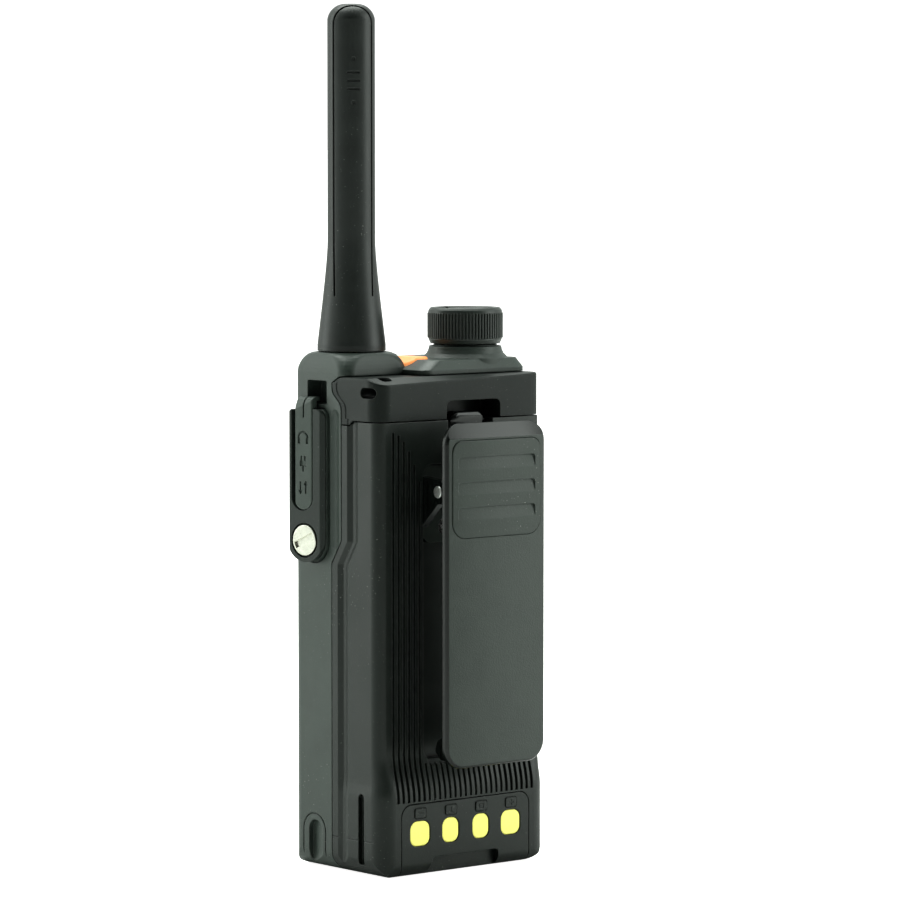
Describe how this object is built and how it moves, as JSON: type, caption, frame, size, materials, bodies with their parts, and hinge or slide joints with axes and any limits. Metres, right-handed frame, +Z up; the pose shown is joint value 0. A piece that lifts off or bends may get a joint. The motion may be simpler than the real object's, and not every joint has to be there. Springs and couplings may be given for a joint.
{
  "type": "portable radio",
  "caption": "Handheld two-way radio with stub antenna, ribbed knob, emergency button, side accessory cover and a clip-on battery with a sprung belt clip.",
  "frame": {"origin": "middle of the foot, in the plane that the radio stands on", "axes": "+Z up along the radio to the antenna's tip, +Y towards the battery and belt clip, -Y towards the loudspeaker, +X towards the accessory cover"},
  "size_m": [0.0599, 0.0489, 0.22],
  "materials": {
    "housing_plastic": "fine moulded grain, black",
    "battery_plastic": "fine moulded grain, black",
    "chassis_metal": "die cast",
    "rubber_seal": "matte",
    "steel": "satin",
    "window": "tinted",
    "display": "liquid-crystal panel",
    "lamp_lens": "translucent",
    "key_rubber": "matte",
    "board": "solder mask",
    "black_parts": "moulded",
    "dust_cloth": "woven",
    "gold_contacts": "bright yellow plate",
    "brass": "machined",
    "orange_button": "orange",
    "knob_plastic": "black",
    "antenna_rubber": "soft black",
    "cover_plastic": "black",
    "thumb_steel": "brushed",
    "cell_wrap": "film wrap",
    "latch_plastic": "gloss black",
    "clip_plastic": "satin black"
  },
  "bodies": {
    "radio": {"front_housing": "housing_plastic", "rear_cap": "housing_plastic", "rear_chassis": "chassis_metal", "housing_gasket": "rubber_seal", "chassis_screws": "steel", "display_window": "window", "display_module": "display", "status_lens": "lamp_lens", "key_membrane": "rubber_seal", "keypad_board": "board", "main_board": "board", "shield_can": "steel", "speaker_frame": "black_parts", "speaker_cone": "black_parts", "speaker_mesh": "dust_cloth", "microphone": "black_parts", "side_switch_board": "board", "side_switches": "black_parts", "accessory_connector": "black_parts", "accessory_contacts": "gold_contacts", "screw_insert": "brass", "antenna_connector": "brass", "control_board": "board", "volume_encoder": "black_parts", "emergency_switch": "black_parts", "radio_contacts": "gold_contacts"},
    "volume_knob": {"volume_knob": "knob_plastic", "encoder_shaft": "steel"},
    "emergency_button": {"emergency_button": "orange_button"},
    "ptt_button": {"ptt_button": "key_rubber"},
    "side_key_upper": {"side_key_upper": "key_rubber"},
    "side_key_lower": {"side_key_lower": "key_rubber"},
    "menu_key": {"menu_key": "key_rubber"},
    "key_upper_left": {"key_upper_left": "key_rubber"},
    "key_upper_right": {"key_upper_right": "key_rubber"},
    "key_lower_left": {"key_lower_left": "key_rubber"},
    "key_lower_right": {"key_lower_right": "key_rubber"},
    "antenna": {"antenna_sleeve": "antenna_rubber", "antenna_element": "brass", "antenna_stud": "brass"},
    "accessory_cover": {"accessory_cover": "cover_plastic", "port_flap": "cover_plastic"},
    "thumb_screw": {"thumb_screw": "thumb_steel"},
    "battery": {"battery_case": "battery_plastic", "battery_inner_cover": "battery_plastic", "battery_contacts": "gold_contacts", "battery_cells": "cell_wrap", "battery_board": "board", "contact_panel": "battery_plastic", "charge_contacts": "gold_contacts", "clip_bracket": "clip_plastic", "clip_screws": "steel", "clip_pin": "steel", "clip_spring": "steel", "latch_spring": "steel"},
    "battery_latch": {"battery_latch": "latch_plastic"},
    "belt_clip": {"belt_clip": "clip_plastic", "clip_pad": "clip_plastic"}
  },
  "joints": [
    {"name": "knob_turn", "type": "hinge", "parent": "radio", "child": "volume_knob", "pos_m": [-0.0149, -0.0001, 0.1333], "axis": [0, 0, -1], "range_deg": [0, 270]},
    {"name": "emergency_press", "type": "slide", "parent": "radio", "child": "emergency_button", "axis": [0, 0, -1], "range_m": [0, 0.0008], "stiffness_N_per_m": 600, "springref_m": -0.0003},
    {"name": "ptt_press", "type": "slide", "parent": "radio", "child": "ptt_button", "axis": [1, 0, 0], "range_m": [0, 0.0006], "stiffness_N_per_m": 700, "springref_m": -0.0003},
    {"name": "side_key_upper_press", "type": "slide", "parent": "radio", "child": "side_key_upper", "axis": [1, 0, 0], "range_m": [0, 0.0006], "stiffness_N_per_m": 400, "springref_m": -0.0003},
    {"name": "side_key_lower_press", "type": "slide", "parent": "radio", "child": "side_key_lower", "axis": [1, 0, 0], "range_m": [0, 0.0006], "stiffness_N_per_m": 400, "springref_m": -0.0003},
    {"name": "menu_key_press", "type": "slide", "parent": "radio", "child": "menu_key", "axis": [0, 1, 0], "range_m": [0, 0.0005], "stiffness_N_per_m": 400, "springref_m": -0.0003},
    {"name": "key_upper_left_press", "type": "slide", "parent": "radio", "child": "key_upper_left", "axis": [0, 1, 0], "range_m": [0, 0.0005], "stiffness_N_per_m": 400, "springref_m": -0.0003},
    {"name": "key_upper_right_press", "type": "slide", "parent": "radio", "child": "key_upper_right", "axis": [0, 1, 0], "range_m": [0, 0.0005], "stiffness_N_per_m": 400, "springref_m": -0.0003},
    {"name": "key_lower_left_press", "type": "slide", "parent": "radio", "child": "key_lower_left", "axis": [0, 1, 0], "range_m": [0, 0.0005], "stiffness_N_per_m": 400, "springref_m": -0.0003},
    {"name": "key_lower_right_press", "type": "slide", "parent": "radio", "child": "key_lower_right", "axis": [0, 1, 0], "range_m": [0, 0.0005], "stiffness_N_per_m": 400, "springref_m": -0.0003},
    {"name": "antenna_turn", "type": "hinge", "parent": "radio", "child": "antenna", "pos_m": [0.0168, -0.0073, 0.1321], "axis": [0, 0, 1], "continuous": true},
    {"name": "cover_swing", "type": "hinge", "parent": "radio", "child": "accessory_cover", "pos_m": [0.028, -0.0094, 0.1199], "axis": [0, -1, 0], "range_deg": [0, 50]},
    {"name": "thumb_screw_turn", "type": "hinge", "parent": "accessory_cover", "child": "thumb_screw", "pos_m": [0.02998, -0.00952, 0.08415], "axis": [0.9848, 0.1736, 0], "continuous": true},
    {"name": "battery_slide", "type": "slide", "parent": "radio", "child": "battery", "axis": [0, 1, 0], "range_m": [0, 0.03]},
    {"name": "latch_slide", "type": "slide", "parent": "battery", "child": "battery_latch", "axis": [0, 0, -1], "range_m": [0, 0.0022], "stiffness_N_per_m": 500, "springref_m": -0.0008, "deforming": ["latch_spring"]},
    {"name": "clip_swing", "type": "hinge", "parent": "battery", "child": "belt_clip", "pos_m": [0, 0.0218, 0.0974], "axis": [1, 0, 0], "range_deg": [0, 12], "stiffness_Nm_per_rad": 0.8, "springref_deg": -8.59}
  ]
}
